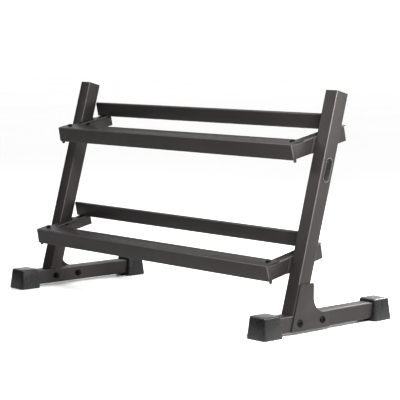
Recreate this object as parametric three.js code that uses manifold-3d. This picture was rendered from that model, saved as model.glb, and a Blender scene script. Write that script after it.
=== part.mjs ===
// A free-standing two-tier dumbbell rack in bent sheet and square steel tube.
// Millimetres, +Z up, +X to the rack's right-hand end, the front faces -Y.
// The origin lies on the floor, under the middle of the four boots.
import * as THREE from "three";
import { mergeVertices } from "three/addons/utils/BufferGeometryUtils.js";
import Module from "manifold-3d";

const wasm = await Module();
wasm.setup();

// ---- Driving dimensions ----

// Overall
const SPACING = 1230; // between the centres of the two feet
const DEPTH = 565; // from the front of the front boots to the back of the rear boots
const UPRIGHT_LENGTH = 690; // from the foot's top to the upright's square-cut end
const LEAN = THREE.MathUtils.degToRad(15.5); // of the uprights, backwards
const TILT = THREE.MathUtils.degToRad(12); // of the trays, down to the front
const SETBACK = 132; // from the front of the boots to the upright's front face, at the foot's top
const LOWER_TIER = 177; // up the upright's front face, from the foot's top to the tray
const TIER_RISE = 373; // from the lower tray to the upper one, along the upright

// Square tube of the feet and uprights
const TUBE = 50;
const TUBE_WALL = 2;
const TUBE_RADIUS = 4; // of the outer corners
const LIFT = 10; // of the foot tube above the floor

// Boots
const BOOT_WALL = 9; // rubber round the tube, at the boot's top
const BOOT_FLARE = 6; // of each side, down to the floor
const BOOT_CROWN = 9; // rubber above the tube
const BOOT_LIP = 9; // height of the upright band round the bottom
const BOOT_END = 8; // rubber in front of the tube's end
const BOOT_ROUND = 9; // of the upright corners

// Trays
const TRAY_FRONT = 108; // from the upright's front face forward to the front rail's face
const STOP_BACK = 79; // from the upright's front face back to the stop rail's web
const SHEET = 3;
const RAIL_WEB = 50; // height of each rail's web
const RAIL_SHELF = 55; // depth of each rail's shelf
const RAIL_RETURN = 11; // of the front rail round the end plate's corner
const STOP_HEM = 8; // of the stop rail's top edge, folded back
const END_SHORT = 2; // of the end plates, in front of the stop rail's rear edge
const TAB = 11; // width of the small round tab under the end plate's front corner
const CORNER_INSET = 25; // of the corner bolts from the end plate's outer face
const CORNER_MARGIN = 13; // of the end plate's flange beyond them
const CORNER_DEPTH = { front: 34, back: 27 }; // of the corner bolts behind each rail's web
const BRACKET = 4; // thickness of the hanger brackets
const BRACKET_LEAD = 6; // of the brackets in front of and behind the upright

// Gusset plates
const GUSSET = 4;
const GUSSET_TOP = 152; // above the floor
const GUSSET_INSET = 5; // behind the upright's front face
const GUSSET_BACK = 10; // behind the upright's rear face, at the top
const GUSSET_SWEEP = 50; // radius of the concave rear edge
const GUSSET_MARGIN = 29; // along the foot, behind the rear bolt

// Fasteners: shank radius, head radius, head height, socket size across flats
const FOOT_BOLT = { shank: 5, head: 11, rise: 5.5, socket: 7 };
const TRAY_BOLT = { shank: 4, head: 8, rise: 4.4, socket: 5 };
const FOOT_BOLT_PITCH = 98; // between the two bolts of a gusset plate
const FOOT_BOLT_FRONT = 28; // from the upright's front face, at the foot's top, to the front bolt
const HANGER_BOLT_EDGE = 12; // from the end plate's upper and lower edges to its hanger bolts
const HOLE_CLEARANCE = 0.5; // round a bolt's shank
const GAP = 0.3; // between pieces that touch

// Badge
const BADGE = { length: 75, width: 27, thickness: 1.6 };
const BADGE_UP = 447; // of its centre, along the upright from the foot's top

// ---- Values that follow ----

const FOOT_TOP = LIFT + TUBE;
const BOOT_TOP = TUBE + 2 * BOOT_WALL; // width and length at the top
const BOOT_FOOT = BOOT_TOP + 2 * BOOT_FLARE; // width and length on the floor
const BOOT_HEIGHT = FOOT_TOP + BOOT_CROWN;
const FOOT_MIDDLE = LIFT + TUBE / 2;
const UPRIGHT_FRONT = -DEPTH / 2 + SETBACK; // Y of its front face at the foot's top
const UPRIGHT_RUN = TUBE / Math.cos(LEAN); // its depth, measured level
const UPRIGHT_MIDDLE = UPRIGHT_FRONT + UPRIGHT_RUN / 2;
const INNER = SPACING / 2 - TUBE / 2; // X of the uprights' inner faces
const WEB_FACE = INNER - BRACKET - 2 * GAP; // X of the end plates' outer faces
const FRONT_BOLT_Y = UPRIGHT_FRONT + FOOT_BOLT_FRONT;
const TRAY_BACK = STOP_BACK + RAIL_SHELF - END_SHORT; // Y of the end plates' rear edge, in the tray's frame
const END_HEIGHT = RAIL_WEB - SHEET; // of the end plates, whose lower edges meet the front rail's
const END_FLANGE = CORNER_INSET + CORNER_MARGIN;
const CORNER_X = WEB_FACE - CORNER_INSET;
const TRAY_TO_UPRIGHT = LEAN + TILT; // between the tray's normal and the upright

// ---- Materials ----

const paint = (name, color) =>
  new THREE.MeshStandardMaterial({ name, color, roughness: 0.45, metalness: 0.55 });
const framePaint = () => paint("frame_paint", 0x4a4645);
const rubber = () =>
  new THREE.MeshStandardMaterial({ name: "boot_rubber", color: 0x303132, roughness: 0.6, metalness: 0 });
const blackSteel = () =>
  new THREE.MeshStandardMaterial({ name: "black_steel", color: 0x101011, roughness: 0.35, metalness: 0.8 });
const plugPlastic = () =>
  new THREE.MeshStandardMaterial({ name: "plug_plastic", color: 0x151515, roughness: 0.7, metalness: 0 });
const badgePlastic = () =>
  new THREE.MeshStandardMaterial({ name: "badge_plastic", color: 0x0c0c0c, roughness: 0.25, metalness: 0.1 });

// ---- Solids ----

function toSolid(geometry) {
  const bare = geometry.index ? geometry.toNonIndexed() : geometry.clone();
  bare.deleteAttribute("normal");
  bare.deleteAttribute("uv");
  const merged = mergeVertices(bare, 1e-4);
  return new wasm.Manifold(
    new wasm.Mesh({
      numProp: 3,
      vertProperties: new Float32Array(merged.attributes.position.array),
      triVerts: new Uint32Array(merged.index.array),
    }),
  );
}

function toGeometry(solid) {
  const mesh = solid.getMesh();
  const geometry = new THREE.BufferGeometry();
  geometry.setAttribute("position", new THREE.BufferAttribute(mesh.vertProperties, 3));
  geometry.setIndex(new THREE.BufferAttribute(mesh.triVerts, 1));
  const flat = geometry.toNonIndexed();
  flat.computeVertexNormals();
  return flat;
}

const cut = (geometry, cutters) =>
  toGeometry(cutters.reduce((solid, cutter) => solid.subtract(toSolid(cutter)), toSolid(geometry)));
const join = (geometries) =>
  toGeometry(geometries.map(toSolid).reduce((all, next) => all.add(next)));

function box(x0, x1, y0, y1, z0, z1) {
  const geometry = new THREE.BoxGeometry(x1 - x0, y1 - y0, z1 - z0);
  return geometry.translate((x0 + x1) / 2, (y0 + y1) / 2, (z0 + z1) / 2);
}

function roundedRect(width, height, radius, Kind = THREE.Shape) {
  const x = width / 2 - radius;
  const y = height / 2 - radius;
  const outline = new Kind();
  outline.absarc(x, y, radius, 0, Math.PI / 2);
  outline.absarc(-x, y, radius, Math.PI / 2, Math.PI);
  outline.absarc(-x, -y, radius, Math.PI, Math.PI * 1.5);
  outline.absarc(x, -y, radius, Math.PI * 1.5, Math.PI * 2);
  return outline;
}

function extrude(shape, depth, curveSegments = 4, steps = 1) {
  return new THREE.ExtrudeGeometry(shape, { depth, curveSegments, steps, bevelEnabled: false });
}

// A shape drawn in the side view, its x being Y and its y being Z, given the span x0 to x1.
function sidePlate(shape, x0, x1, curveSegments) {
  const toSide = new THREE.Matrix4().makeBasis(
    new THREE.Vector3(0, 1, 0),
    new THREE.Vector3(0, 0, 1),
    new THREE.Vector3(1, 0, 0),
  );
  return extrude(shape, x1 - x0, curveSegments).applyMatrix4(toSide).translate(x0, 0, 0);
}

// A cylinder along X, as a bolt hole's cutter.
function bore(radius, x0, x1, y, z) {
  const cylinder = new THREE.CylinderGeometry(radius, radius, x1 - x0, 16).rotateZ(Math.PI / 2);
  return cylinder.translate((x0 + x1) / 2, y, z);
}

// Square tube standing on Z = 0.
function squareTube(length) {
  const section = roundedRect(TUBE, TUBE, TUBE_RADIUS);
  const inside = TUBE - 2 * TUBE_WALL;
  section.holes.push(roundedRect(inside, inside, TUBE_RADIUS - TUBE_WALL, THREE.Path));
  return extrude(section, length);
}

// ---- Fasteners ----

// Button-head bolt along Z: the head sits on Z = 0 and the shank runs down to -length.
function buttonBolt({ shank, head, rise, socket }, length) {
  const profile = [
    [0, -length],
    [shank, -length],
    [shank, 0],
    [head, 0],
    [head, rise * 0.3],
    [head * 0.8, rise * 0.78],
    [head * 0.5, rise],
    [0, rise],
  ].map(([r, z]) => new THREE.Vector2(r, z));
  const body = new THREE.LatheGeometry(profile, 16).rotateX(Math.PI / 2);
  const hex = new THREE.CylinderGeometry(socket / Math.sqrt(3), socket / Math.sqrt(3), rise * 1.4, 6);
  return cut(body, [hex.rotateX(Math.PI / 2).translate(0, 0, rise)]);
}

// Flanged nut along Z, from Z = 0 down, round a bolt's shank.
function flangeNut({ shank, head }, height) {
  const flange = new THREE.CylinderGeometry(head, head, height * 0.22, 16).rotateX(Math.PI / 2);
  const hex = new THREE.CylinderGeometry(shank * 1.9, shank * 1.9, height, 6).rotateX(Math.PI / 2);
  const nut = join([flange.translate(0, 0, -height * 0.11), hex.translate(0, 0, -height / 2)]);
  const hole = new THREE.CylinderGeometry(shank + GAP, shank + GAP, height * 3, 16).rotateX(Math.PI / 2);
  return cut(nut, [hole]);
}

// ---- Pieces ----

function footTube() {
  const length = DEPTH - 2 * BOOT_END - 2 * GAP;
  const tube = squareTube(length).rotateX(-Math.PI / 2).translate(0, -length / 2, FOOT_MIDDLE);
  const reach = TUBE;
  const radius = FOOT_BOLT.shank + HOLE_CLEARANCE;
  const holes = [0, 1].map((i) => bore(radius, -reach, reach, FRONT_BOLT_Y + i * FOOT_BOLT_PITCH, FOOT_MIDDLE));
  return cut(tube, holes);
}

// A tapered rubber boot over the tube's front end, its outer face at Y = -DEPTH / 2.
function boot() {
  const middle = -DEPTH / 2 + BOOT_FOOT / 2;
  const outline = roundedRect(BOOT_FOOT, BOOT_FOOT, BOOT_ROUND);
  const bevel = 4;
  const levels = [
    { z: 0, size: BOOT_FOOT },
    { z: BOOT_LIP, size: BOOT_FOOT },
    { z: BOOT_HEIGHT - bevel, size: BOOT_TOP },
    { z: BOOT_HEIGHT, size: BOOT_TOP - 2 * bevel },
  ];
  const body = extrude(outline, levels.length - 1, 4, levels.length - 1);
  const position = body.attributes.position;
  for (let i = 0; i < position.count; i++) {
    const level = levels[Math.round(position.getZ(i))];
    const scale = level.size / BOOT_FOOT;
    position.setXYZ(i, position.getX(i) * scale, position.getY(i) * scale, level.z);
  }
  body.translate(0, middle, 0);
  const half = TUBE / 2 + GAP;
  const socket = extrude(roundedRect(2 * half, 2 * half, TUBE_RADIUS + GAP), BOOT_FOOT);
  socket.rotateX(-Math.PI / 2).translate(0, -DEPTH / 2 + BOOT_END, FOOT_MIDDLE);
  return cut(body, [socket]);
}

// In the upright's own frame: Z along it from the foot's top, Y across it to the back.
// The side with the tray's bolt holes is inward, which is -X here.
function upright() {
  const tube = squareTube(UPRIGHT_LENGTH);
  const position = tube.attributes.position;
  for (let i = 0; i < position.count; i++) {
    // the lower end is cut level, to stand on the foot
    if (position.getZ(i) < 1) position.setZ(i, position.getY(i) * Math.tan(LEAN) + GAP);
  }
  const radius = TRAY_BOLT.shank + HOLE_CLEARANCE;
  const holes = tiers.flatMap((tier) =>
    trayBoltPlaces(tier).map(({ along }) => bore(radius, -TUBE, 0, 0, along)),
  );
  return cut(tube, holes);
}

// Plug pressed into the upright's open top, its face a little below the cut.
function uprightPlug() {
  const inside = TUBE - 2 * TUBE_WALL - 2 * GAP;
  const radius = TUBE_RADIUS - TUBE_WALL;
  const recess = 1;
  const depth = 16;
  const wall = 3;
  const body = extrude(roundedRect(inside, inside, radius), depth);
  body.translate(0, 0, UPRIGHT_LENGTH - recess - depth);
  const hollow = extrude(roundedRect(inside - 2 * wall, inside - 2 * wall, 1), depth);
  return cut(body, [hollow.translate(0, 0, UPRIGHT_LENGTH - recess - depth - wall)]);
}

// The gusset joins the upright's outer face to the foot's, between x0 and x1.
function gusset(x0, x1) {
  const frontAt = (z) => UPRIGHT_FRONT + (z - FOOT_TOP) * Math.tan(LEAN) + GUSSET_INSET / Math.cos(LEAN);
  const topBack = UPRIGHT_FRONT + (GUSSET_TOP - FOOT_TOP) * Math.tan(LEAN) + UPRIGHT_RUN + GUSSET_BACK;
  const tail = FRONT_BOLT_Y + FOOT_BOLT_PITCH + GUSSET_MARGIN;
  const footEdge = FOOT_TOP - TUBE_RADIUS / 2;
  const nose = 3; // radius of the corners at the top
  const shape = new THREE.Shape();
  shape.moveTo(frontAt(LIFT), LIFT);
  shape.lineTo(tail, LIFT);
  shape.lineTo(tail, footEdge);
  shape.lineTo(topBack + GUSSET_SWEEP, footEdge);
  shape.absarc(topBack + GUSSET_SWEEP, footEdge + GUSSET_SWEEP, GUSSET_SWEEP, -Math.PI / 2, -Math.PI, true);
  shape.absarc(topBack - nose, GUSSET_TOP - nose, nose, 0, Math.PI / 2);
  shape.lineTo(frontAt(GUSSET_TOP) + nose, GUSSET_TOP);
  shape.lineTo(frontAt(GUSSET_TOP - nose), GUSSET_TOP - nose);
  const radius = FOOT_BOLT.shank + HOLE_CLEARANCE;
  const plate = sidePlate(shape, x0, x1, 9);
  return cut(
    plate,
    [0, 1].map((i) => bore(radius, x0 - 1, x1 + 1, FRONT_BOLT_Y + i * FOOT_BOLT_PITCH, FOOT_MIDDLE)),
  );
}

// Blank stadium-shaped badge, in the upright's frame, lying on its outer face.
function badge() {
  const { length, width, thickness } = BADGE;
  const plate = sidePlate(roundedRect(width, length, width / 2 - 0.01), 0, thickness, 8);
  return plate.translate(TUBE / 2 + GAP, 0, BADGE_UP);
}

// Front rail, in the tray's frame: a web hanging in front, a shelf running back from its top,
// and a short return round the corner of each end plate.
function frontRail() {
  const end = WEB_FACE + GAP + SHEET;
  const face = -TRAY_FRONT;
  const bottom = SHEET - RAIL_WEB;
  const round = 6; // of the web's lower corners
  const web = new THREE.Shape();
  web.moveTo(-end, SHEET);
  web.lineTo(-end, bottom + round);
  web.absarc(-end + round, bottom + round, round, Math.PI, Math.PI * 1.5);
  web.absarc(end - round, bottom + round, round, Math.PI * 1.5, Math.PI * 2);
  web.lineTo(end, SHEET);
  const front = extrude(web, SHEET, 3).rotateX(Math.PI / 2).translate(0, face + SHEET, 0);
  const shelf = box(-end, end, face, face + RAIL_SHELF, 0, SHEET);
  const returns = [-1, 1].map((side) => {
    const outer = side * end;
    const inner = side * (end - SHEET);
    const low = bottom + round;
    return box(Math.min(outer, inner), Math.max(outer, inner), face, face + RAIL_RETURN, low, SHEET);
  });
  return cut(join([front, shelf, ...returns]), cornerHoles(face + CORNER_DEPTH.front));
}

// Stop rail: a shelf for the rear heads with a web standing along its front edge, whose
// top is folded back a little.
function stopRail() {
  const end = INNER - 2 * GAP;
  const web = box(-end, end, STOP_BACK, STOP_BACK + SHEET, 0, RAIL_WEB);
  const shelf = box(-end, end, STOP_BACK, STOP_BACK + RAIL_SHELF, 0, SHEET);
  const hem = box(-end, end, STOP_BACK, STOP_BACK + STOP_HEM, RAIL_WEB - SHEET, RAIL_WEB);
  return cut(join([web, shelf, hem]), cornerHoles(STOP_BACK + CORNER_DEPTH.back));
}

// End plate for one side, +1 to the right and -1 to the left: a web facing outwards,
// with a flange turned inwards under the rails' shelves.
function endPlate(side, tier) {
  const outer = WEB_FACE;
  const top = -GAP;
  const bottom = -END_HEIGHT;
  const front = -TRAY_FRONT + SHEET + GAP;
  const webShape = new THREE.Shape();
  webShape.moveTo(front, top);
  webShape.lineTo(front, bottom);
  webShape.lineTo(front + 1, bottom - TAB / 2);
  webShape.absarc(front + 1 + TAB / 2, bottom - TAB / 2, TAB / 2 - 1, Math.PI, Math.PI * 2);
  webShape.lineTo(front + 1 + TAB, bottom);
  webShape.lineTo(TRAY_BACK, bottom);
  webShape.lineTo(TRAY_BACK, top);
  const web = sidePlate(webShape, outer - SHEET, outer, 4);
  const flange = box(outer - END_FLANGE, outer, front, TRAY_BACK, top - SHEET, top);
  const radius = TRAY_BOLT.shank + HOLE_CLEARANCE;
  const across = trayBoltPlaces(tier).map(({ y, z }) => bore(radius, outer - 10, outer + 10, y, z));
  const plate = cut(join([web, flange]), [
    ...across,
    ...cornerHoles(-TRAY_FRONT + CORNER_DEPTH.front),
    ...cornerHoles(STOP_BACK + CORNER_DEPTH.back),
  ]);
  return side > 0 ? plate : mirrored(plate);
}

// Hanger bracket between an upright and an end plate, in the tray's frame.
function bracket(side, tier) {
  const slope = Math.tan(TRAY_TO_UPRIGHT);
  const run = TUBE / Math.cos(TRAY_TO_UPRIGHT);
  const top = -GAP;
  const bottom = -END_HEIGHT;
  const outline = new THREE.Shape();
  outline.moveTo(top * slope - BRACKET_LEAD, top);
  outline.lineTo(bottom * slope - BRACKET_LEAD, bottom);
  outline.lineTo(bottom * slope + run + BRACKET_LEAD, bottom);
  outline.lineTo(top * slope + run + BRACKET_LEAD, top);
  const x0 = WEB_FACE + GAP;
  const radius = TRAY_BOLT.shank + HOLE_CLEARANCE;
  const holes = trayBoltPlaces(tier).map(({ y, z }) => bore(radius, x0 - 1, x0 + BRACKET + 1, y, z));
  const plate = cut(sidePlate(outline, x0, x0 + BRACKET), holes);
  return side > 0 ? plate : mirrored(plate);
}

function mirrored(geometry) {
  const copy = geometry.clone().scale(-1, 1, 1);
  const position = copy.attributes.position;
  for (let i = 0; i < position.count; i += 3) {
    const swap = [position.getX(i + 1), position.getY(i + 1), position.getZ(i + 1)];
    position.setXYZ(i + 1, position.getX(i + 2), position.getY(i + 2), position.getZ(i + 2));
    position.setXYZ(i + 2, ...swap);
  }
  copy.computeVertexNormals();
  return copy;
}

// ---- Places of the trays and of their bolts ----

const tiers = [
  { name: "lower", up: LOWER_TIER },
  { name: "upper", up: LOWER_TIER + TIER_RISE },
];

// The tray's frame starts where its plate plane meets the upright's front face.
const trayOrigin = ({ up }) => ({
  y: UPRIGHT_FRONT + up * Math.sin(LEAN),
  z: FOOT_TOP + up * Math.cos(LEAN),
});

// The two bolts of a bracket, the lower one first, lie on the upright's centre line:
// `along` the upright, and y and z in the tray's frame.
function trayBoltPlaces({ up }) {
  const halfRun = TUBE / 2 / Math.cos(TRAY_TO_UPRIGHT);
  const centre = up - (TUBE / 2) * Math.tan(LEAN) + (TUBE / 2) * Math.tan(TRAY_TO_UPRIGHT);
  return [HANGER_BOLT_EDGE - END_HEIGHT, -HANGER_BOLT_EDGE].map((z) => ({
    y: z * Math.tan(TRAY_TO_UPRIGHT) + halfRun,
    z,
    along: centre + z / Math.cos(TRAY_TO_UPRIGHT),
  }));
}

function cornerHoles(y) {
  const radius = TRAY_BOLT.shank + HOLE_CLEARANCE;
  return [-1, 1].map((side) =>
    new THREE.CylinderGeometry(radius, radius, 30, 16).rotateX(Math.PI / 2).translate(side * CORNER_X, y, 0),
  );
}

// ---- Assembly ----

const rack = new THREE.Group();
rack.name = "dumbbell_rack";

function add(parent, name, geometry, material) {
  const mesh = new THREE.Mesh(geometry, material);
  mesh.name = name;
  parent.add(mesh);
  return mesh;
}

// A bolt or nut made along Z, turned so that its head faces +X or -X.
function addAcross(parent, name, geometry, facing, x, y, z) {
  const mesh = add(parent, name, geometry, blackSteel());
  mesh.rotation.y = (facing * Math.PI) / 2;
  mesh.position.set(x, y, z);
}

function addFoot(label, side) {
  const foot = new THREE.Group();
  foot.position.x = (side * SPACING) / 2;
  rack.add(foot);
  add(foot, "foot_tube_" + label, footTube(), framePaint());
  add(foot, "front_boot_" + label, boot(), rubber());
  add(foot, "rear_boot_" + label, boot(), rubber()).rotation.z = Math.PI;

  const outer = TUBE / 2 + GAP;
  const span = side > 0 ? [outer, outer + GUSSET] : [-outer - GUSSET, -outer];
  add(foot, "gusset_plate_" + label, gusset(...span), framePaint());
  const nutHeight = 9;
  const length = TUBE + GUSSET + 4 * GAP + nutHeight + 3;
  ["front", "rear"].forEach((place, i) => {
    const y = FRONT_BOLT_Y + i * FOOT_BOLT_PITCH;
    const headAt = side * (outer + GUSSET + GAP);
    const nutAt = -side * outer;
    addAcross(foot, `gusset_bolt_${place}_${label}`, buttonBolt(FOOT_BOLT, length), side, headAt, y, FOOT_MIDDLE);
    addAcross(foot, `gusset_nut_${place}_${label}`, flangeNut(FOOT_BOLT, nutHeight), side, nutAt, y, FOOT_MIDDLE);
  });
}

function addUpright(label, side) {
  const leaning = new THREE.Group();
  leaning.position.set((side * SPACING) / 2, UPRIGHT_MIDDLE, FOOT_TOP);
  leaning.rotation.x = -LEAN;
  rack.add(leaning);
  const tube = upright();
  add(leaning, "upright_" + label, side > 0 ? tube : mirrored(tube), framePaint());
  add(leaning, "upright_plug_" + label, uprightPlug(), plugPlastic());
  if (side > 0) add(leaning, "badge", badge(), badgePlastic());
}

function addTray(tier) {
  const tray = new THREE.Group();
  const origin = trayOrigin(tier);
  tray.position.set(0, origin.y, origin.z);
  tray.rotation.x = TILT;
  rack.add(tray);
  add(tray, tier.name + "_front_rail", frontRail(), framePaint());
  add(tray, tier.name + "_stop_rail", stopRail(), framePaint());
  const nutHeight = 7;
  const cornerLength = 2 * SHEET + 3 * GAP + nutHeight + 1;
  const boltThrough = SHEET + BRACKET + TUBE_WALL + 4 * GAP + 6;
  for (const [label, side] of [["left", -1], ["right", 1]]) {
    add(tray, `${tier.name}_end_plate_${label}`, endPlate(side, tier), framePaint());
    add(tray, `${tier.name}_bracket_${label}`, bracket(side, tier), framePaint());
    trayBoltPlaces(tier).forEach(({ y, z }, i) => {
      const name = `${tier.name}_hanger_bolt_${i ? "high" : "low"}_${label}`;
      const headAt = side * (WEB_FACE - SHEET - GAP);
      addAcross(tray, name, buttonBolt(TRAY_BOLT, boltThrough), -side, headAt, y, z);
    });
    const corners = { front: -TRAY_FRONT + CORNER_DEPTH.front, back: STOP_BACK + CORNER_DEPTH.back };
    for (const [place, y] of Object.entries(corners)) {
      const bolt = add(
        tray,
        `${tier.name}_corner_bolt_${place}_${label}`,
        buttonBolt(TRAY_BOLT, cornerLength),
        blackSteel(),
      );
      bolt.position.set(side * CORNER_X, y, SHEET + GAP);
      const nut = add(
        tray,
        `${tier.name}_corner_nut_${place}_${label}`,
        flangeNut(TRAY_BOLT, nutHeight),
        blackSteel(),
      );
      nut.position.set(side * CORNER_X, y, -SHEET - 2 * GAP);
    }
  }
}

for (const [label, side] of [["left", -1], ["right", 1]]) {
  addFoot(label, side);
  addUpright(label, side);
}
tiers.forEach(addTray);

export default rack;
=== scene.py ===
"""A two-tier dumbbell rack: leaning tube uprights on booted feet, and two tilted trays of bent sheet."""

import math

import bmesh
import bpy
from mathutils import Matrix, Vector


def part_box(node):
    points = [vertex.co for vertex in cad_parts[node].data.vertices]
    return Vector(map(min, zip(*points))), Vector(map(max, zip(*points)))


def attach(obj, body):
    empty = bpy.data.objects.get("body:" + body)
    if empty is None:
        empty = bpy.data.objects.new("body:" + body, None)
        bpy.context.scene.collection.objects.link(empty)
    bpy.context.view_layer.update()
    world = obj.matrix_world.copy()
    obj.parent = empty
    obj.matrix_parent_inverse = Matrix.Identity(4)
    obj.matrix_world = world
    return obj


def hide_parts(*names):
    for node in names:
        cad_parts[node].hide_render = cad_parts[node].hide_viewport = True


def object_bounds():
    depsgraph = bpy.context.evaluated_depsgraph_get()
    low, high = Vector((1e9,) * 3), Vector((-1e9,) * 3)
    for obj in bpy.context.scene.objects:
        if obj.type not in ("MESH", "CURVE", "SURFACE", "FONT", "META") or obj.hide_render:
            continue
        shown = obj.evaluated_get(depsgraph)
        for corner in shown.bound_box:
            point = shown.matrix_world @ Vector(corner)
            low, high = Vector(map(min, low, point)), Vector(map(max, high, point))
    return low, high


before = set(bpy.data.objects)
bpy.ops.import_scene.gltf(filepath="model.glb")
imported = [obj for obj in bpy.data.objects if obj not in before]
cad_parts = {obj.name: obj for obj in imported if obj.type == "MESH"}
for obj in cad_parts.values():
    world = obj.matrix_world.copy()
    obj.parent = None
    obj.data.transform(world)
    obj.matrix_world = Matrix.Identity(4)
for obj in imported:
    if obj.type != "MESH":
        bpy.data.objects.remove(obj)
cad_box = [list(corner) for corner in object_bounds()]

# ---- Sizes, in metres, the same as the solids' ----

MM = 0.001
SIDES = {"left": -1, "right": 1}

TUBE = 50 * MM
TUBE_WALL = 2 * MM
TUBE_RADIUS = 4 * MM  # of the outer corners
LEAN = math.radians(15.5)  # of the uprights, backwards
TILT = math.radians(12)  # of the trays, down to the front
SETBACK = 132 * MM  # from the front of the boots to the upright, at the foot's top
UPRIGHT_LENGTH = 690 * MM
TIERS = {"lower": 177 * MM, "upper": 550 * MM}  # up the upright's front face to the tray

PLUG_SUNK = 1 * MM  # below the upright's end
PLUG_LENGTH = 16 * MM
PLUG_ROUND = 2.5 * MM  # of the upright corners
PLUG_RIM = 5 * MM
PLUG_DISH = 1.2 * MM  # depth of the middle, inside the rim

BOOT_WALL = 9 * MM  # rubber round the tube, at the boot's top
BOOT_FLARE = 6 * MM  # of each side, down to the floor
BOOT_CROWN = 9 * MM  # rubber above the tube
BOOT_LIP = 9 * MM  # height of the upright band round the bottom
BOOT_END = 8 * MM  # rubber in front of the tube's end
BOOT_ROUND = 9 * MM  # of the upright corners
BOOT_ROUND_TOP = 4.5 * MM
BOOT_ROUND_FOOT = 1.5 * MM

SHEET = 3 * MM
TRAY_FRONT = 108 * MM  # from the upright's front face forward to the front rail's face
STOP_BACK = 79 * MM  # from the upright's front face back to the stop rail's web
RAIL_WEB = 50 * MM  # height of each rail's web
RAIL_SHELF = 55 * MM  # depth of each rail's shelf
RAIL_RETURN = 11 * MM  # of the front rail round the end plate's corner
RAIL_CORNER = 6 * MM  # rounding of the front rail's lower corners
STOP_HEM = 8 * MM  # of the stop rail's top edge, folded back
END_SHORT = 2 * MM  # of the end plates, in front of the stop rail's rear edge
TAB = 11 * MM  # width of the small round tab under the end plate's front corner
TAB_DROP = 0.9 * TAB
TAB_ROUND = 0.45 * TAB
TAB_SET = 1 * MM  # of the tab behind the end plate's front edge
CORNER_INSET = 25 * MM  # of the corner bolts from the end plate's outer face
CORNER_MARGIN = 13 * MM  # of the end plate's flange beyond them
CORNER_FRONT = 34 * MM  # of the front corner bolts behind the front rail's web
CORNER_BACK = 27 * MM  # of the back corner bolts behind the stop rail's web
BRACKET = 4 * MM  # thickness of the hanger brackets
BRACKET_LEAD = 6 * MM  # of the brackets in front of and behind the upright
BEND = 4.5 * MM  # outer radius of the sheet's folds
SHEET_BREAK = 0.4 * MM  # width of the rounding on the sheet's cut edges
SEAM = 3.4 * MM  # width of the slot in the end plates behind the front rail's returns
SEAM_SET = 1 * MM  # of the slot in front of the returns' rear edge
SEAM_END = 5 * MM  # from the slot to the plate's lower edge
ROUNDING_FACE = (0.7 * MM, 2.6 * MM)  # width of a face of a bend or a rounded edge
LEAST_TURN = math.radians(10)  # from such a face to the ones along its two long edges

GUSSET = 4 * MM
GUSSET_TOP = 152 * MM  # above the floor
GUSSET_INSET = 5 * MM  # behind the upright's front face
GUSSET_BACK = 10 * MM  # behind the upright's rear face, at the top
GUSSET_SWEEP = 50 * MM  # radius of the concave rear edge
GUSSET_MARGIN = 29 * MM  # along the foot, behind the rear bolt
PLATE_CORNER = 3 * MM  # rounding of the gussets' and brackets' corners

FOOT_BOLT = {"shank": 5 * MM, "head": 11 * MM, "rise": 5.5 * MM, "socket": 7 * MM}
TRAY_BOLT = {"shank": 4 * MM, "head": 8 * MM, "rise": 4.4 * MM, "socket": 5 * MM}
FOOT_BOLT_FRONT = 28 * MM  # from the upright's front face, at the foot's top, to the front bolt
FOOT_BOLT_PITCH = 98 * MM
FOOT_BOLT_PAST = 3 * MM  # of the bolt's end past its nut
CORNER_BOLT_PAST = 1 * MM
HANGER_BOLT_PAST = 6 * MM  # of the bolt's end inside the upright
HANGER_BOLT_EDGE = 12 * MM  # from the end plate's upper and lower edges to its hanger bolts
FOOT_NUT_HEIGHT = 9 * MM
TRAY_NUT_HEIGHT = 7 * MM
NUT_CORNERS = 1.9  # radius of a nut's corners, in shank radii

BADGE_LENGTH = 75 * MM
BADGE_WIDTH = 27 * MM
BADGE_THICKNESS = 1.6 * MM
BADGE_RIM = 1 * MM
BADGE_DEPTH = 0.6 * MM  # of its face, inside the rim
BADGE_UP = 447 * MM  # of its centre, along the upright from the foot's top

GAP = 0.3 * MM  # between pieces that touch
NOWHERE = math.inf  # a height above every face, for a piece with no painted highlight on its roundings

# ---- Places that follow from them ----

foot_low, foot_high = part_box("foot_tube_right")
FOOT_X = (foot_low.x + foot_high.x) / 2
FOOT_TOP = foot_high.z
FOOT_BOTTOM = foot_low.z
FOOT_MIDDLE = (FOOT_TOP + FOOT_BOTTOM) / 2
FOOT_HALF = foot_high.y
DEPTH = cad_box[1][1] - cad_box[0][1]
BOOT_TOP = TUBE + 2 * BOOT_WALL  # width and length at the top
BOOT_FOOT = BOOT_TOP + 2 * BOOT_FLARE  # width and length on the floor
BOOT_HEIGHT = FOOT_TOP + BOOT_CROWN
UPRIGHT_FRONT = -DEPTH / 2 + SETBACK  # Y of its front face at the foot's top
UPRIGHT_RUN = TUBE / math.cos(LEAN)  # its depth, measured level
INNER = FOOT_X - TUBE / 2  # X of the uprights' inner faces
WEB_FACE = INNER - BRACKET - 2 * GAP  # X of the end plates' outer faces
RAIL_END = WEB_FACE + GAP + SHEET  # X of the front rails' outer ends
END_HEIGHT = RAIL_WEB - SHEET
END_FLANGE = CORNER_INSET + CORNER_MARGIN
TRAY_BACK = STOP_BACK + RAIL_SHELF - END_SHORT  # Y of the end plates' rear edge, in the tray's frame
CORNER_X = WEB_FACE - CORNER_INSET
FRONT_BOLT_Y = UPRIGHT_FRONT + FOOT_BOLT_FRONT
TRAY_TO_UPRIGHT = LEAN + TILT  # between the tray's normal and the upright


def upright_frame(side):
    """From an upright's own frame, Z up along it from the foot's top, to the rack's."""
    middle = UPRIGHT_FRONT + UPRIGHT_RUN / 2
    return Matrix.Translation((side * FOOT_X, middle, FOOT_TOP)) @ Matrix.Rotation(-LEAN, 4, "X")


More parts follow.
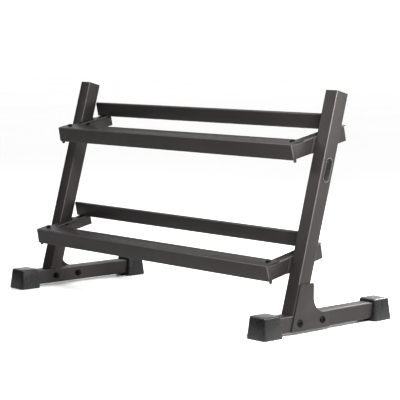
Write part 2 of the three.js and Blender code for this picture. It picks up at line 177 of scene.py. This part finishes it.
def tray_frame(up):
    """From a tray's own frame, which starts where its plane meets the uprights' front, to the rack's."""
    place = (0, UPRIGHT_FRONT + up * math.sin(LEAN), FOOT_TOP + up * math.cos(LEAN))
    return Matrix.Translation(place) @ Matrix.Rotation(TILT, 4, "X")


MIRROR = Matrix.Scale(-1, 4, (1, 0, 0))


# ---- Working on a piece ----


def only(*pieces):
    """Selects these pieces and nothing else, the first of them active."""
    bpy.ops.object.select_all(action="DESELECT")
    for piece in pieces:
        piece.select_set(True)
    bpy.context.view_layer.objects.active = pieces[0]


def edit(piece, kind, test):
    """Opens the piece in edit mode, with each face, edge or vertex selected that passes the test."""
    only(piece)
    bpy.ops.object.mode_set(mode="EDIT")
    bpy.ops.mesh.select_mode(type=kind)
    bpy.ops.mesh.select_all(action="DESELECT")
    shape = bmesh.from_edit_mesh(piece.data)
    if kind == "FACE":
        for face in shape.faces:
            face.select_set(test(face.calc_center_median(), face.normal))
    elif kind == "EDGE":
        for edge in shape.edges:
            first, last = (vertex.co for vertex in edge.verts)
            edge.select_set(test((first + last) / 2, (last - first).normalized()))
    else:
        for vertex in shape.verts:
            vertex.select_set(test(vertex.co, vertex.normal))
    shape.select_flush_mode()
    bmesh.update_edit_mesh(piece.data)


def done():
    """Leaves edit mode."""
    bpy.ops.object.mode_set(mode="OBJECT")


def near(a, b):
    """Whether two lengths are the same to a twentieth of a millimetre."""
    return abs(a - b) < 0.05 * MM


def block(low, high):
    """A block between two corners."""
    bpy.ops.object.select_all(action="DESELECT")
    low, high = Vector(low), Vector(high)
    bpy.ops.mesh.primitive_cube_add(size=1, location=(low + high) / 2, scale=high - low)
    bpy.ops.object.transform_apply(location=True, rotation=True, scale=True)
    return bpy.context.object


def sheet(middle, turn, width, height):
    """A flat rectangle with no thickness."""
    bpy.ops.object.select_all(action="DESELECT")
    bpy.ops.mesh.primitive_plane_add(size=1, location=middle, rotation=turn)
    bpy.context.object.scale = (width, height, 1)
    bpy.ops.object.transform_apply(location=True, rotation=True, scale=True)
    return bpy.context.object


def sheet_along_x(half, y, low, high):
    """An upright sheet from -half to half along X, facing -Y."""
    return sheet((0, y, (low + high) / 2), (math.pi / 2, 0, 0), 2 * half, high - low)


def sheet_along_y(x, front, back, low, high):
    """An upright sheet facing +X."""
    middle = (x, (front + back) / 2, (low + high) / 2)
    return sheet(middle, (math.pi / 2, 0, math.pi / 2), back - front, high - low)


def disc(radius, low, high, sides):
    """A round or many-sided block along Z."""
    bpy.ops.object.select_all(action="DESELECT")
    middle = (0, 0, (low + high) / 2)
    bpy.ops.mesh.primitive_cylinder_add(vertices=sides, radius=radius, depth=high - low, location=middle)
    bpy.ops.object.transform_apply(location=True, rotation=True, scale=True)
    return bpy.context.object


def round_edges(piece, test, radius, segments=4):
    edit(piece, "EDGE", test)
    bpy.ops.mesh.bevel(offset=radius, segments=segments, affect="EDGES")
    done()


def round_corners(piece, test, radius, segments=4):
    """Rounds a sheet's corners in its own plane."""
    edit(piece, "VERT", test)
    bpy.ops.mesh.bevel(offset=radius, segments=segments, affect="VERTICES")
    done()


def extrude_edge(piece, test, way):
    """Folds a new strip of sheet out from the edges that pass the test."""
    edit(piece, "EDGE", test)
    bpy.ops.mesh.extrude_region_move(TRANSFORM_OT_translate={"value": way})
    done()


def work(piece, kind, **settings):
    """Adds a modifier with these settings and applies it."""
    only(piece)
    modifier = piece.modifiers.new(kind.lower(), kind)
    for name, value in settings.items():
        setattr(modifier, name, value)
    bpy.ops.object.modifier_apply(modifier=modifier.name)


def cut(piece, *cutters):
    """Takes the cutters' shapes out of the piece, and removes the cutters."""
    for cutter in cutters:
        work(piece, "BOOLEAN", object=cutter, operation="DIFFERENCE", solver="EXACT")
        bpy.data.objects.remove(cutter)


def soften(piece, width=0.5 * MM, segments=2, angle=40):
    """Breaks the piece's sharp edges, and shades its curves smooth."""
    work(
        piece,
        "BEVEL",
        width=width,
        segments=segments,
        limit_method="ANGLE",
        angle_limit=math.radians(angle),
        use_clamp_overlap=True,
    )
    smooth(piece)


def smooth(piece, angle=32):
    only(piece)
    bpy.ops.object.shade_smooth_by_angle(angle=math.radians(angle))


def thicken(piece):
    """Gives a folded sheet its thickness, on the inner side of its faces."""
    work(piece, "SOLIDIFY", thickness=SHEET, offset=-1, use_even_offset=True)


def move(piece, matrix):
    """Moves the piece's mesh, and keeps its faces pointing out where that mirrors it."""
    piece.data.transform(matrix)
    if matrix.determinant() < 0:
        piece.data.flip_normals()


def copy_of(piece, matrix):
    """A copy of the piece, moved by a matrix."""
    only(piece)
    bpy.ops.object.duplicate()
    twin = bpy.context.object
    move(twin, matrix)
    return twin


def join(*pieces):
    only(*pieces)
    bpy.ops.object.join()
    return bpy.context.object


# ---- Materials ----


class Finish:
    """A material with its shader, and short ways to feed it."""

    def __init__(self, name, roughness, metallic=0.0, specular=0.5):
        self.material = bpy.data.materials.new(name)
        self.material.use_nodes = True
        self.tree = self.material.node_tree
        self.shader = self.tree.nodes["Principled BSDF"]
        self.shader.inputs["Roughness"].default_value = roughness
        self.shader.inputs["Metallic"].default_value = metallic
        self.shader.inputs["Specular IOR Level"].default_value = specular
        self.place = self.tree.nodes.new("ShaderNodeTexCoord").outputs["Object"]

    def noise(self, scale, detail):
        node = self.tree.nodes.new("ShaderNodeTexNoise")
        node.inputs["Scale"].default_value = scale
        node.inputs["Detail"].default_value = detail
        self.tree.links.new(self.place, node.inputs["Vector"])
        return node.outputs["Fac"]

    def ramp(self, source, *stops):
        """Turns a value into the stops' colours or greys, each given with its place from 0 to 1."""
        node = self.tree.nodes.new("ShaderNodeValToRGB")
        points = node.color_ramp.elements
        while len(points) < len(stops):
            points.new(0.5)
        for point, (at, value) in zip(points, stops):
            color = value if isinstance(value, tuple) else (value, value, value)
            point.position = at
            point.color = (*color, 1)
        self.tree.links.new(source, node.inputs["Fac"])
        return node.outputs["Color"]

    def multiply(self, first, second):
        node = self.tree.nodes.new("ShaderNodeMix")
        node.data_type = "RGBA"
        node.blend_type = "MULTIPLY"
        node.inputs["Factor"].default_value = 1
        self.tree.links.new(first, node.inputs["A"])
        self.tree.links.new(second, node.inputs["B"])
        return node.outputs["Result"]

    def painted_highlight(self, source, color):
        """Paints a highlight: changes to this colour on the marked roundings."""
        mark = self.tree.nodes.new("ShaderNodeAttribute")
        mark.attribute_name = "rounding"
        node = self.tree.nodes.new("ShaderNodeMix")
        node.data_type = "RGBA"
        node.inputs["B"].default_value = (*color, 1)
        self.tree.links.new(mark.outputs["Fac"], node.inputs["Factor"])
        self.tree.links.new(source, node.inputs["A"])
        return node.outputs["Result"]

    def feed(self, socket, source):
        self.tree.links.new(source, self.shader.inputs[socket])

    def bump(self, height, strength, depth):
        node = self.tree.nodes.new("ShaderNodeBump")
        node.inputs["Strength"].default_value = strength
        node.inputs["Distance"].default_value = depth
        self.tree.links.new(height, node.inputs["Height"])
        self.feed("Normal", node.outputs["Normal"])


def powder_coat():
    """Satin dark grey-brown powder coat with a fine metallic fleck, a slight orange peel and a painted
    highlight on its marked roundings.
    """
    finish = Finish("powder_coat", roughness=0.42, metallic=0.2, specular=0.2)
    darker, lighter = (0.033, 0.029, 0.029), (0.040, 0.035, 0.035)
    drift = finish.ramp(finish.noise(6, 3), (0.3, darker), (0.7, lighter))
    fleck = finish.ramp(finish.noise(2600, 1), (0.35, 0.82), (0.62, 1.0), (0.74, 1.7))
    # painted highlight: a lighter grey on the marked roundings, standing in for light caught there
    highlight_tint = (0.078, 0.074, 0.074)
    finish.feed("Base Color", finish.painted_highlight(finish.multiply(drift, fleck), highlight_tint))
    finish.feed("Roughness", finish.ramp(finish.noise(40, 4), (0.3, 0.36), (0.7, 0.46)))
    finish.bump(finish.noise(700, 2), 0.12, 0.0004)
    return finish.material


def boot_rubber():
    """Moulded dark grey rubber with a fine grain, and a painted highlight on its marked roundings."""
    finish = Finish("boot_rubber", roughness=0.3, specular=0.4)
    tone = finish.ramp(finish.noise(25, 4), (0.3, 0.011), (0.7, 0.014))
    # painted highlight: a lighter grey on the boot's rounded top edges, standing in for light caught there
    highlight_tint = (0.035, 0.035, 0.035)
    finish.feed("Base Color", finish.painted_highlight(tone, highlight_tint))
    finish.feed("Roughness", finish.ramp(finish.noise(60, 3), (0.3, 0.2), (0.7, 0.32)))
    finish.bump(finish.noise(1400, 3), 0.15, 0.0003)
    return finish.material


def black_oxide():
    """Blackened steel with a faint oily sheen."""
    finish = Finish("black_oxide", roughness=0.5, specular=0.12)
    finish.feed("Base Color", finish.ramp(finish.noise(180, 4), (0.3, 0.003), (0.7, 0.007)))
    finish.feed("Roughness", finish.ramp(finish.noise(300, 3), (0.3, 0.42), (0.7, 0.58)))
    finish.bump(finish.noise(2500, 2), 0.1, 0.0002)
    return finish.material


def plug_plastic():
    """Black moulded plastic with a leathery grain."""
    finish = Finish("plug_plastic", roughness=0.6)
    finish.feed("Base Color", finish.ramp(finish.noise(90, 3), (0.3, 0.012), (0.7, 0.02)))
    finish.bump(finish.noise(1800, 4), 0.4, 0.0004)
    return finish.material


def badge_black():
    """Glossy black face of the badge, faintly mottled."""
    finish = Finish("badge_black", roughness=0.3, specular=0.2)
    finish.feed("Base Color", finish.ramp(finish.noise(120, 2), (0.3, 0.006), (0.7, 0.012)))
    finish.feed("Roughness", finish.ramp(finish.noise(400, 3), (0.3, 0.24), (0.7, 0.36)))
    return finish.material


def badge_rim():
    """Pale satin rim round the badge."""
    finish = Finish("badge_rim", roughness=0.35, metallic=0.6)
    finish.feed("Base Color", finish.ramp(finish.noise(500, 2), (0.3, 0.20), (0.7, 0.27)))
    finish.bump(finish.noise(2500, 2), 0.1, 0.0002)
    return finish.material


MATERIALS = {
    "frame_paint": powder_coat(),
    "boot_rubber": boot_rubber(),
    "black_steel": black_oxide(),
    "plug_plastic": plug_plastic(),
    "badge_plastic": badge_black(),
}


def mark_roundings(piece, highlight_above):
    """Marks the narrow faces of bends and rounded edges above a height, for a painted highlight along them.
    """
    shape = bmesh.new()
    shape.from_mesh(piece.data)
    marks = []
    for face in shape.faces:
        edges = sorted(face.edges, key=lambda edge: edge.calc_length())
        width = face.calc_area() / edges[-1].calc_length()
        narrow = ROUNDING_FACE[0] < width < ROUNDING_FACE[1]
        bent = all(edge.calc_face_angle(0) > LEAST_TURN for edge in edges[-2:])
        # only roundings above this height get the painted highlight
        above_limit = face.calc_center_median().z > highlight_above
        marks.append(1.0 if narrow and bent and above_limit else 0.0)
    shape.free()
    attribute = piece.data.attributes.new("rounding", "FLOAT", "FACE")
    attribute.data.foreach_set("value", marks)


def finish_piece(piece, name, slot, *nodes, highlight_above=0.0):
    """Names a finished piece, marks its roundings above a height for a painted highlight, paints it and lets
    it stand for its solid.
    """
    mark_roundings(piece, highlight_above)
    piece.name = name
    piece.data.name = name
    if not piece.data.materials:
        piece.data.materials.append(MATERIALS[slot])
    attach(piece, "root")
    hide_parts(*nodes)


# ---- Feet and uprights ----


def open_ends(tube, along):
    """Hollows a tube from end to end, leaving its wall."""
    edit(tube, "FACE", lambda at, way: abs(way[along]) > 0.8)
    bpy.ops.mesh.inset(thickness=TUBE_WALL)
    bpy.ops.mesh.bridge_edge_loops()
    done()
    smooth(tube)


def foot_tube():
    half = TUBE / 2
    tube = block((-half, -FOOT_HALF, FOOT_BOTTOM), (half, FOOT_HALF, FOOT_TOP))
    round_edges(tube, lambda at, way: abs(way.y) > 0.9, TUBE_RADIUS, 5)
    open_ends(tube, 1)
    return tube


def upright():
    """In its own frame, with a level cut at the bottom and an open top.

    Its faces are parted at the gusset's top, because only those above it get a painted highlight on their
    roundings."""
    half = TUBE / 2
    tube = block((-half, -half, -TUBE), (half, half, UPRIGHT_LENGTH))
    round_edges(tube, lambda at, way: abs(way.z) > 0.9, TUBE_RADIUS, 5)
    edit(tube, "FACE", lambda at, way: True)
    level = Matrix.Rotation(LEAN, 3, "X") @ Vector((0, 0, 1))
    bpy.ops.mesh.bisect(plane_co=(0, 0, GAP), plane_no=level, clear_inner=True, use_fill=True)
    bpy.ops.mesh.select_all(action="SELECT")
    gusset_end = (0, 0, (GUSSET_TOP - FOOT_TOP) / math.cos(LEAN))
    bpy.ops.mesh.bisect(plane_co=gusset_end, plane_no=level)
    done()
    open_ends(tube, 2)
    return tube


def upright_plug():
    """A cap pressed into the upright's open top, dished in the middle."""
    half = TUBE / 2 - TUBE_WALL - GAP
    top = UPRIGHT_LENGTH - PLUG_SUNK
    plug = block((-half, -half, top - PLUG_LENGTH), (half, half, top))
    round_edges(plug, lambda at, way: abs(way.z) > 0.9, PLUG_ROUND, 3)
    edit(plug, "FACE", lambda at, way: way.z > 0.9)
    bpy.ops.mesh.inset(thickness=PLUG_RIM)
    bpy.ops.mesh.extrude_region_move(TRANSFORM_OT_translate={"value": (0, 0, -PLUG_DISH)})
    done()
    soften(plug, 0.6 * MM)
    return plug


def boot():
    """The front boot, tapering up round the foot tube's front end."""
    half = BOOT_FOOT / 2
    front = -DEPTH / 2
    middle = front + half
    body = block((-half, front, 0), (half, front + BOOT_FOOT, BOOT_LIP))
    edit(body, "FACE", lambda at, way: way.z > 0.9)
    bpy.ops.mesh.extrude_region_move(TRANSFORM_OT_translate={"value": (0, 0, BOOT_HEIGHT - BOOT_LIP)})
    shrink = BOOT_TOP / BOOT_FOOT
    bpy.ops.transform.resize(value=(shrink, shrink, 1), center_override=(0, middle, BOOT_HEIGHT))
    done()
    round_edges(body, lambda at, way: abs(way.z) > 0.8, BOOT_ROUND, 6)
    round_edges(body, lambda at, way: near(at.z, BOOT_HEIGHT), BOOT_ROUND_TOP, 5)
    round_edges(body, lambda at, way: near(at.z, 0), BOOT_ROUND_FOOT, 2)
    socket = TUBE / 2 + GAP
    low = (-socket, front + BOOT_END, FOOT_MIDDLE - socket)
    hole = block(low, (socket, 0, FOOT_MIDDLE + socket))
    round_edges(hole, lambda at, way: abs(way.y) > 0.9, TUBE_RADIUS)
    cut(body, hole)
    smooth(body)
    return body


def gusset():
    """The right gusset plate, with the foot's middle at X = 0."""

    def front_at(z):
        return UPRIGHT_FRONT + (z - FOOT_TOP) * math.tan(LEAN) + GUSSET_INSET / math.cos(LEAN)

    top_back = UPRIGHT_FRONT + (GUSSET_TOP - FOOT_TOP) * math.tan(LEAN) + UPRIGHT_RUN + GUSSET_BACK
    tail = FRONT_BOLT_Y + FOOT_BOLT_PITCH + GUSSET_MARGIN
    edge = FOOT_TOP - TUBE_RADIUS / 2
    inner = TUBE / 2 + GAP
    outer = inner + GUSSET
    plate = block((inner, front_at(FOOT_BOTTOM), FOOT_BOTTOM), (outer, tail, GUSSET_TOP))
    edit(plate, "FACE", lambda at, way: True)
    forward = (0, -math.cos(LEAN), math.sin(LEAN))
    start = (0, front_at(GUSSET_TOP), GUSSET_TOP)
    bpy.ops.mesh.bisect(plane_co=start, plane_no=forward, clear_outer=True, use_fill=True)
    done()
    sweep = block((inner - MM, top_back, edge), (outer + MM, tail + GUSSET_SWEEP, 2 * GUSSET_TOP))
    round_edges(sweep, lambda at, way: near(at.y, top_back) and near(at.z, edge), GUSSET_SWEEP, 24)
    cut(plate, sweep)
    round_edges(plate, lambda at, way: abs(way.x) > 0.9 and near(at.z, GUSSET_TOP), PLATE_CORNER, 4)
    soften(plate, 0.6 * MM, 3)
    return plate


# ---- Trays, each piece in the tray's own frame ----


def front_rail():
    """A web hanging in front, folded back at the top and round both ends."""
    face = -TRAY_FRONT
    low = SHEET - RAIL_WEB
    rail = sheet_along_x(RAIL_END, face, low, SHEET)
    round_corners(rail, lambda at, way: near(at.z, low), RAIL_CORNER, 5)
    extrude_edge(rail, lambda at, way: near(abs(at.x), RAIL_END), (0, RAIL_RETURN, 0))
    extrude_edge(rail, lambda at, way: near(at.z, SHEET) and near(at.y, face), (0, RAIL_SHELF, 0))
    round_edges(
        rail,
        lambda at, way: near(at.y, face) and (near(at.z, SHEET) or near(abs(at.x), RAIL_END)),
        BEND,
        6,
    )
    thicken(rail)
    soften(rail, SHEET_BREAK)
    return rail


def stop_rail():
    """A shelf for the rear heads, folded up at the front to stop them, with its top folded back."""
    half = INNER - 2 * GAP
    rail = sheet_along_x(half, STOP_BACK, 0, RAIL_WEB)
    extrude_edge(rail, lambda at, way: near(at.z, 0), (0, RAIL_SHELF, 0))
    extrude_edge(rail, lambda at, way: near(at.z, RAIL_WEB), (0, STOP_HEM, 0))
    round_edges(
        rail,
        lambda at, way: near(at.y, STOP_BACK) and (near(at.z, 0) or near(at.z, RAIL_WEB)),
        BEND,
        6,
    )
    thicken(rail)
    soften(rail, SHEET_BREAK)
    return rail


def end_plate():
    """The right end plate: a web facing out, folded in at the top under the shelves.

    A slot behind the front rail's return parts the two, as a dark seam."""
    top = -GAP
    bottom = -END_HEIGHT
    front = -TRAY_FRONT + SHEET + GAP
    plate = sheet_along_y(WEB_FACE, front, TRAY_BACK, bottom, top)
    tab_front = front + TAB_SET
    for y in (tab_front, tab_front + TAB):
        edit(plate, "FACE", lambda at, way: True)
        bpy.ops.mesh.bisect(plane_co=(0, y, 0), plane_no=(0, 1, 0))
        done()
    tab_middle = tab_front + TAB / 2
    extrude_edge(plate, lambda at, way: near(at.z, bottom) and near(at.y, tab_middle), (0, 0, -TAB_DROP))
    round_corners(plate, lambda at, way: near(at.z, bottom - TAB_DROP), TAB_ROUND, 5)
    extrude_edge(plate, lambda at, way: near(at.z, top), (-END_FLANGE, 0, 0))
    round_edges(plate, lambda at, way: near(at.z, top) and near(at.x, WEB_FACE), BEND, 6)
    thicken(plate)
    soften(plate, SHEET_BREAK)
    slot_front = -TRAY_FRONT + RAIL_RETURN - SEAM_SET
    low = (WEB_FACE - 2 * SHEET, slot_front, bottom + SEAM_END)
    cut(plate, block(low, (WEB_FACE + SHEET, slot_front + SEAM, top - BEND)))
    smooth(plate)
    return plate


def bracket():
    """The right hanger bracket, cut to the upright's slope."""
    slope = math.tan(TRAY_TO_UPRIGHT)
    run = TUBE / math.cos(TRAY_TO_UPRIGHT)
    inner = WEB_FACE + GAP
    low = (inner, -BRACKET_LEAD, -END_HEIGHT)
    plate = block(low, (inner + BRACKET, run + BRACKET_LEAD, -GAP))
    for height in (-END_HEIGHT, -GAP):
        edit(plate, "VERT", lambda at, way: near(at.z, height))
        bpy.ops.transform.translate(value=(0, height * slope, 0))
        done()
    round_edges(plate, lambda at, way: abs(way.x) > 0.9, PLATE_CORNER, 4)
    soften(plate, 0.8 * MM, 3)
    return plate


def hanger_bolt_places():
    """Y and Z of a bracket's two bolts, the lower one first."""
    half_run = TUBE / 2 / math.cos(TRAY_TO_UPRIGHT)
    heights = {"low": HANGER_BOLT_EDGE - END_HEIGHT, "high": -HANGER_BOLT_EDGE}
    return {word: (z * math.tan(TRAY_TO_UPRIGHT) + half_run, z) for word, z in heights.items()}


# ---- Fasteners, each along Z with its seat at Z = 0 ----


def grow(rise, scale, height):
    """Extrudes the selected face up by a rise, to a height, and scales it about the piece's axis."""
    bpy.ops.mesh.extrude_region_move(TRANSFORM_OT_translate={"value": (0, 0, rise)})
    bpy.ops.transform.resize(value=(scale, scale, 1), center_override=(0, 0, height))


def button_bolt(sizes, length):
    """A domed head with a hexagonal socket, on a plain shank."""
    rise = sizes["rise"]
    bolt = disc(sizes["shank"], -length, 0, 32)
    round_edges(bolt, lambda at, way: near(at.z, -length), 0.6 * MM, 1)
    edit(bolt, "FACE", lambda at, way: way.z > 0.9)
    grow(0, sizes["head"] / sizes["shank"], 0)
    grow(rise * 0.28, 1, rise * 0.28)
    grow(rise * 0.42, 0.86, rise * 0.7)
    grow(rise * 0.22, 0.76, rise * 0.92)
    grow(rise * 0.08, 0.8, rise)
    done()
    socket = disc(sizes["socket"] / math.sqrt(3), rise * 0.3, rise * 2, 6)
    cut(bolt, socket)
    soften(bolt, 0.25 * MM, 2, 50)
    return bolt


def flange_nut(sizes, height):
    """A hexagonal nut with chamfered corners, on a round flange."""
    corners = sizes["shank"] * NUT_CORNERS
    flange_base = -height * 0.22
    nut = disc(corners, -height, 0, 6)
    turned = disc(corners * 0.97, -height, 0, 32)
    round_edges(turned, lambda at, way: near(at.z, -height), 1.1 * MM, 2)
    work(nut, "BOOLEAN", object=turned, operation="INTERSECT", solver="EXACT")
    bpy.data.objects.remove(turned)
    flange = disc(sizes["head"], flange_base, 0, 32)
    round_edges(flange, lambda at, way: near(at.z, flange_base), 0.8 * MM, 2)
    nut = join(nut, flange)
    smooth(nut)
    return nut


def badge():
    """A blank plate with round ends and a raised rim, in the right upright's frame."""
    face = TUBE / 2 + GAP
    half = BADGE_WIDTH / 2
    low = (face, -half, BADGE_UP - BADGE_LENGTH / 2)
    plate = block(low, (face + BADGE_THICKNESS, half, BADGE_UP + BADGE_LENGTH / 2))
    round_edges(plate, lambda at, way: abs(way.x) > 0.9, half - 0.1 * MM, 12)
    edit(plate, "FACE", lambda at, way: way.x > 0.9)
    bpy.ops.mesh.inset(thickness=BADGE_RIM)
    bpy.ops.mesh.extrude_region_move(TRANSFORM_OT_translate={"value": (-BADGE_DEPTH, 0, 0)})
    done()
    soften(plate, 0.3 * MM)
    plate.data.materials.append(MATERIALS["badge_plastic"])
    plate.data.materials.append(badge_rim())
    rim_starts = face + BADGE_THICKNESS - 0.5 * MM
    for polygon in plate.data.polygons:
        polygon.material_index = 0 if polygon.center.x < rim_starts else 1
    return plate


# ---- Building the rack ----


def drop(*patterns):
    """Removes the patterns that the finished pieces were copied from."""
    for pattern in patterns:
        bpy.data.objects.remove(pattern)


def build_feet():
    tube, rubber, plate = foot_tube(), boot(), gusset()
    length = TUBE + GUSSET + 4 * GAP + FOOT_NUT_HEIGHT + FOOT_BOLT_PAST
    bolt, nut = button_bolt(FOOT_BOLT, length), flange_nut(FOOT_BOLT, FOOT_NUT_HEIGHT)
    outer = TUBE / 2 + GAP
    for label, side in SIDES.items():
        shift = Matrix.Translation((side * FOOT_X, 0, 0))
        handed = shift if side > 0 else shift @ MIRROR
        node = "foot_tube_" + label
        # The heights given here limit the painted highlight to roundings above them; the gussets get none.
        finish_piece(copy_of(tube, shift), "foot_" + label, "frame_paint", node, highlight_above=FOOT_MIDDLE)
        node = "gusset_plate_" + label
        finish_piece(copy_of(plate, handed), "gusset_" + label, "frame_paint", node, highlight_above=NOWHERE)
        for end, turn in (("front", 0), ("rear", math.pi)):
            place = shift @ Matrix.Rotation(turn, 4, "Z")
            word = f"boot_{end}_{label}"
            node = f"{end}_boot_{label}"
            finish_piece(copy_of(rubber, place), word, "boot_rubber", node, highlight_above=FOOT_TOP)
        across = Matrix.Rotation(side * math.pi / 2, 4, "Y")
        for i, end in enumerate(("front", "rear")):
            y = FRONT_BOLT_Y + i * FOOT_BOLT_PITCH
            head = Matrix.Translation((side * (outer + GUSSET + GAP), y, FOOT_MIDDLE))
            seat = Matrix.Translation((-side * outer, y, FOOT_MIDDLE))
            names = f"gusset_bolt_{end}_{label}", f"gusset_nut_{end}_{label}"
            finish_piece(copy_of(bolt, shift @ head @ across), "foot_" + names[0], "black_steel", names[0])
            finish_piece(copy_of(nut, shift @ seat @ across), "foot_" + names[1], "black_steel", names[1])
    drop(tube, rubber, plate, bolt, nut)


def build_uprights():
    tube, plug = upright(), upright_plug()
    for label, side in SIDES.items():
        place = upright_frame(side)
        word = "leaning_" + label
        # Only the upright's roundings above the gusset's top get the painted highlight.
        finish_piece(copy_of(tube, place), word, "frame_paint", "upright_" + label, highlight_above=GUSSET_TOP)
        finish_piece(copy_of(plug, place), "cap_" + label, "plug_plastic", "upright_plug_" + label)
    plate = badge()
    move(plate, upright_frame(1))
    finish_piece(plate, "blank_badge", "badge_plastic", "badge")
    drop(tube, plug)


def build_trays():
    front, stop, end, hanger = front_rail(), stop_rail(), end_plate(), bracket()
    nut = flange_nut(TRAY_BOLT, TRAY_NUT_HEIGHT)
    corner_bolt = button_bolt(TRAY_BOLT, 2 * SHEET + 3 * GAP + TRAY_NUT_HEIGHT + CORNER_BOLT_PAST)
    hanger_bolt = button_bolt(TRAY_BOLT, SHEET + BRACKET + TUBE_WALL + 4 * GAP + HANGER_BOLT_PAST)
    corners = {"front": -TRAY_FRONT + CORNER_FRONT, "back": STOP_BACK + CORNER_BACK}
    for tier, up in TIERS.items():
        tray = tray_frame(up)
        finish_piece(copy_of(front, tray), tier + "_lip", "frame_paint", tier + "_front_rail")
        finish_piece(copy_of(stop, tray), tier + "_stop", "frame_paint", tier + "_stop_rail")
        for label, side in SIDES.items():
            handed = tray if side > 0 else tray @ MIRROR
            word = f"{tier}_end_{label}"
            finish_piece(copy_of(end, handed), word, "frame_paint", f"{tier}_end_plate_{label}")
            word = f"{tier}_hanger_{label}"
            finish_piece(copy_of(hanger, handed), word, "frame_paint", f"{tier}_bracket_{label}")
            inward = Matrix.Rotation(-side * math.pi / 2, 4, "Y")
            for which, (y, z) in hanger_bolt_places().items():
                seat = Matrix.Translation((side * (WEB_FACE - SHEET - GAP), y, z))
                node = f"{tier}_hanger_bolt_{which}_{label}"
                finish_piece(copy_of(hanger_bolt, tray @ seat @ inward), "tray_" + node, "black_steel", node)
            for which, y in corners.items():
                seat = Matrix.Translation((side * CORNER_X, y, SHEET + GAP))
                node = f"{tier}_corner_bolt_{which}_{label}"
                finish_piece(copy_of(corner_bolt, tray @ seat), "tray_" + node, "black_steel", node)
                seat = Matrix.Translation((side * CORNER_X, y, -SHEET - 2 * GAP))
                node = f"{tier}_corner_nut_{which}_{label}"
                finish_piece(copy_of(nut, tray @ seat), "tray_" + node, "black_steel", node)
    drop(front, stop, end, hanger, nut, corner_bolt, hanger_bolt)


build_feet()
build_uprights()
build_trays()


# ---- Stage, light and camera ----


FLOOR_WIDTH = 60
WORLD_DIM_WAY = (-0.35, -0.93, -0.1)  # from the rack, towards the dim part of the world
WORLD_FADE = (-0.2, 0.45)  # share of that way at which the dimming starts and ends
WORLD_STRENGTH = (1.25, 0.12)  # bright and dim


def add_floor():
    bpy.ops.object.select_all(action="DESELECT")
    bpy.ops.mesh.primitive_plane_add(size=FLOOR_WIDTH)
    floor = bpy.context.object
    floor.name = "floor"
    finish = Finish("floor", roughness=0.25, specular=0.35)
    finish.feed("Base Color", finish.ramp(finish.noise(0.6, 2), (0.3, 0.93), (0.7, 0.95)))
    floor.data.materials.append(finish.material)


def add_world():
    """White all round, but dim in front, so that the front faces stay dark."""
    world = bpy.data.worlds.new("studio")
    bpy.context.scene.world = world
    world.use_nodes = True
    tree = world.node_tree
    way = tree.nodes.new("ShaderNodeTexCoord").outputs["Generated"]
    share = tree.nodes.new("ShaderNodeVectorMath")
    share.operation = "DOT_PRODUCT"
    share.inputs[1].default_value = WORLD_DIM_WAY
    tree.links.new(way, share.inputs[0])
    fade = tree.nodes.new("ShaderNodeMapRange")
    fade.interpolation_type = "SMOOTHSTEP"
    fade.inputs["From Min"].default_value = WORLD_FADE[0]
    fade.inputs["From Max"].default_value = WORLD_FADE[1]
    fade.inputs["To Min"].default_value = WORLD_STRENGTH[0]
    fade.inputs["To Max"].default_value = WORLD_STRENGTH[1]
    tree.links.new(share.outputs["Value"], fade.inputs["Value"])
    tree.links.new(fade.outputs["Result"], tree.nodes["Background"].inputs["Strength"])
    tree.nodes["Background"].inputs["Color"].default_value = (1, 1, 1, 1)


def add_softbox(name, place, target, width, height, power):
    """A rectangular lamp turned towards a target, in metres and watts."""
    light = bpy.data.lights.new(name, "AREA")
    light.shape = "RECTANGLE"
    light.size = width
    light.size_y = height
    light.energy = power
    lamp = bpy.data.objects.new(name, light)
    bpy.context.scene.collection.objects.link(lamp)
    lamp.location = place
    lamp.rotation_euler = (Vector(target) - Vector(place)).to_track_quat("-Z", "Y").to_euler()


CAMERA_PLACE = (3.6974, -3.2569, 0.8722)
CAMERA_YAW = math.radians(48.2)
CAMERA_PITCH = math.radians(-6.07)
CAMERA_ROLL = math.radians(0.06)
CAMERA_SENSOR = 36.0  # width in mm
CAMERA_LENS = 132.54  # mm


def add_camera():
    camera = bpy.data.objects.new("camera", bpy.data.cameras.new("camera"))
    bpy.context.scene.collection.objects.link(camera)
    camera.data.sensor_width = CAMERA_SENSOR
    camera.data.lens = CAMERA_LENS
    turn = Matrix.Rotation(CAMERA_YAW, 4, "Z") @ Matrix.Rotation(math.pi / 2 + CAMERA_PITCH, 4, "X")
    camera.matrix_world = Matrix.Translation(CAMERA_PLACE) @ turn @ Matrix.Rotation(CAMERA_ROLL, 4, "Z")
    bpy.context.scene.camera = camera


def add_lights():
    near_side = (FOOT_X, 0, 0.5)
    far_side = (-FOOT_X, 0, 0.5)
    add_softbox("key", (1.7, -0.6, 1.4), near_side, width=0.6, height=0.6, power=92)
    add_softbox("right_softbox", (1.9, 1.1, 0.9), near_side, width=0.8, height=0.8, power=15)
    add_softbox("near_strip", (-1.2, -1.75, 1.75), near_side, width=0.6, height=0.9, power=12)
    add_softbox("far_strip", (-2.5, -1.9, 1.75), far_side, width=0.6, height=0.9, power=13)
    add_softbox("back_softbox", (-0.4, 2.7, 1.7), (0, 0, 0.4), width=1.4, height=0.8, power=90)


def set_tones():
    """A plain display transform, with deeper darks."""
    settings = bpy.context.scene.view_settings
    settings.view_transform = "Standard"
    settings.gamma = 0.8


add_floor()
add_world()
add_lights()
set_tones()
add_camera()
